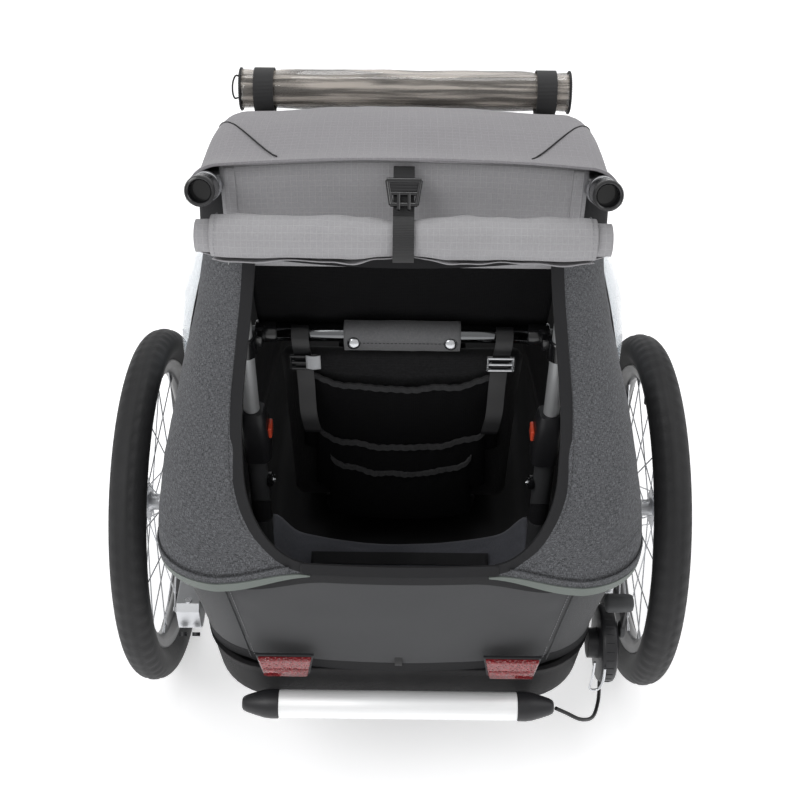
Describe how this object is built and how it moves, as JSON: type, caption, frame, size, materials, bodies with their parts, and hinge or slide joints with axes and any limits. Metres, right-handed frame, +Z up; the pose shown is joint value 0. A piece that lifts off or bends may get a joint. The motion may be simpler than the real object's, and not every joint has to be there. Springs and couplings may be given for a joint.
{
  "type": "child bicycle trailer",
  "caption": "Single-seat fabric child bicycle trailer with spoked wheels, folding tube frame, rolled-up covers, tow arm, stroller wheel and parking brake.",
  "frame": {"origin": "on the ground, under the middle of the footprint", "axes": "+Y points forwards, in the direction of travel; +Z points up; +X points to the right seen from behind"},
  "size_m": [0.754, 1.1635, 0.9224],
  "materials": {
    "frame_tube": "silver anodised tube, satin",
    "satin_tube": "bright satin anodised tube",
    "cast_alloy": "cast and machined, fine grain",
    "black_metal": "black powder coat",
    "tub_plastic": "black moulded tray with a leather-like grain",
    "black_plastic": "moulded black plastic",
    "lower_fabric": "dark grey coated weave",
    "heather_fabric": "mid grey heather weave",
    "roof_fabric": "light grey coated weave",
    "seat_fabric": "black padded weave",
    "webbing": "black ribbed webbing",
    "clear_film": "clear soft window film with slight waves",
    "reflector_red": "red prismatic reflector",
    "button_red": "red push button",
    "grey_rubber": "grey soft grip",
    "bush_rubber": "black rubber bush",
    "cable_sheath": "black cable sheath",
    "steel": "turned steel",
    "spokes": "polished hub and bright spokes",
    "rim": "black anodised rim",
    "tyre": "black rubber with block tread"
  },
  "bodies": {
    "chassis": {"floor_rail_left": "frame_tube", "floor_rail_right": "frame_tube", "axle_beam": "black_metal", "front_cross_tube": "frame_tube", "rear_cross_tube": "frame_tube", "floor_tub": "tub_plastic", "lower_back_panel": "lower_fabric", "bumper_tube": "satin_tube", "bumper_end_left": "black_plastic", "bumper_end_right": "black_plastic", "reflector_left": "reflector_red", "reflector_right": "reflector_red", "lower_upright_left": "black_metal", "lower_upright_right": "black_metal", "seat_cushion": "seat_fabric", "seat_back": "seat_fabric", "harness": "webbing", "brake_housing": "black_plastic", "brake_cable": "cable_sheath", "tow_bracket": "black_plastic", "stroller_arm": "frame_tube", "suspension_bush_left": "bush_rubber", "suspension_bush_right": "bush_rubber"},
    "suspension_left": {"swing_arm_left": "cast_alloy", "wheel_axle_left": "steel"},
    "suspension_right": {"swing_arm_right": "cast_alloy", "wheel_axle_right": "steel"},
    "wheel_left": {"tyre_left": "tyre", "rim_left": "rim", "hub_left": "spokes"},
    "wheel_right": {"tyre_right": "tyre", "rim_right": "rim", "hub_right": "spokes"},
    "upper_frame": {"hoop_left": "frame_tube", "hoop_right": "frame_tube", "push_bar_socket_left": "black_plastic", "push_bar_socket_right": "black_plastic", "roof_cross_tube": "frame_tube", "canopy": "roof_fabric", "upper_back_panel": "roof_fabric", "rear_cover_roll": "roof_fabric", "roll_strap": "webbing", "window_roll": "clear_film", "side_cover_left": "heather_fabric", "side_cover_right": "heather_fabric", "side_window_left": "clear_film", "side_window_right": "clear_film"},
    "rear_struts": {"rear_strut_left": "satin_tube", "rear_strut_right": "satin_tube", "strut_knuckle_left": "black_plastic", "strut_knuckle_right": "black_plastic", "seat_cross_tube": "satin_tube", "grab_loop": "lower_fabric"},
    "release_button_left": {"release_button_left": "button_red"},
    "release_button_right": {"release_button_right": "button_red"},
    "brake_lever": {"brake_lever": "grey_rubber"},
    "tow_arm": {"tow_arm": "frame_tube"},
    "tow_coupler": {"tow_coupler": "black_plastic"},
    "stroller_fork": {"stroller_fork": "black_plastic"},
    "stroller_wheel": {"stroller_wheel": "tyre"}
  },
  "joints": [
    {"name": "suspension_left", "type": "hinge", "parent": "chassis", "child": "suspension_left", "pos_m": [-0.27, -0.149, 0.1725], "axis": [-1, 0, 0], "range_deg": [0, 7], "stiffness_Nm_per_rad": 150, "springref_deg": -5.73},
    {"name": "suspension_right", "type": "hinge", "parent": "chassis", "child": "suspension_right", "pos_m": [0.27, -0.149, 0.1725], "axis": [-1, 0, 0], "range_deg": [0, 7], "stiffness_Nm_per_rad": 150, "springref_deg": -5.73},
    {"name": "wheel_left", "type": "hinge", "parent": "suspension_left", "child": "wheel_left", "pos_m": [-0.341, -0.249, 0.25], "axis": [1, 0, 0], "continuous": true},
    {"name": "wheel_right", "type": "hinge", "parent": "suspension_right", "child": "wheel_right", "pos_m": [0.341, -0.249, 0.25], "axis": [1, 0, 0], "continuous": true},
    {"name": "frame_fold", "type": "hinge", "parent": "chassis", "child": "upper_frame", "pos_m": [0, 0.351, 0.235], "axis": [1, 0, 0], "range_deg": [0, 28], "deforming": ["side_cover_left", "side_cover_right", "side_window_left", "side_window_right", "seat_back", "harness"]},
    {"name": "strut_fold", "type": "hinge", "parent": "upper_frame", "child": "rear_struts", "pos_m": [0, -0.369, 0.85], "axis": [1, 0, 0], "range_deg": [0, 59]},
    {"name": "release_button_left", "type": "slide", "parent": "rear_struts", "child": "release_button_left", "axis": [-1, 0, 0], "range_m": [0, 0.004], "stiffness_N_per_m": 400},
    {"name": "release_button_right", "type": "slide", "parent": "rear_struts", "child": "release_button_right", "axis": [1, 0, 0], "range_m": [0, 0.004], "stiffness_N_per_m": 400},
    {"name": "brake_lever", "type": "hinge", "parent": "chassis", "child": "brake_lever", "pos_m": [0.284, -0.475, 0.262], "axis": [1, 0, 0], "range_deg": [0, 30]},
    {"name": "tow_arm_swing", "type": "hinge", "parent": "chassis", "child": "tow_arm", "pos_m": [-0.245, 0.396, 0.29], "axis": [0, 0, 1], "range_deg": [0, 90]},
    {"name": "tow_coupler_turn", "type": "hinge", "parent": "tow_arm", "child": "tow_coupler", "pos_m": [0.345, 0.396, 0.29], "axis": [0, 0, 1], "range_deg": [-40, 40]},
    {"name": "stroller_swivel", "type": "hinge", "parent": "chassis", "child": "stroller_fork", "pos_m": [0, 0.516, 0.21], "axis": [0, 0, 1], "continuous": true},
    {"name": "stroller_wheel_spin", "type": "hinge", "parent": "stroller_fork", "child": "stroller_wheel", "pos_m": [0, 0.481, 0.1], "axis": [1, 0, 0], "continuous": true}
  ],
  "couplings": [
    {"joint": "strut_fold", "follows": "frame_fold", "ratio": 2.1}
  ]
}
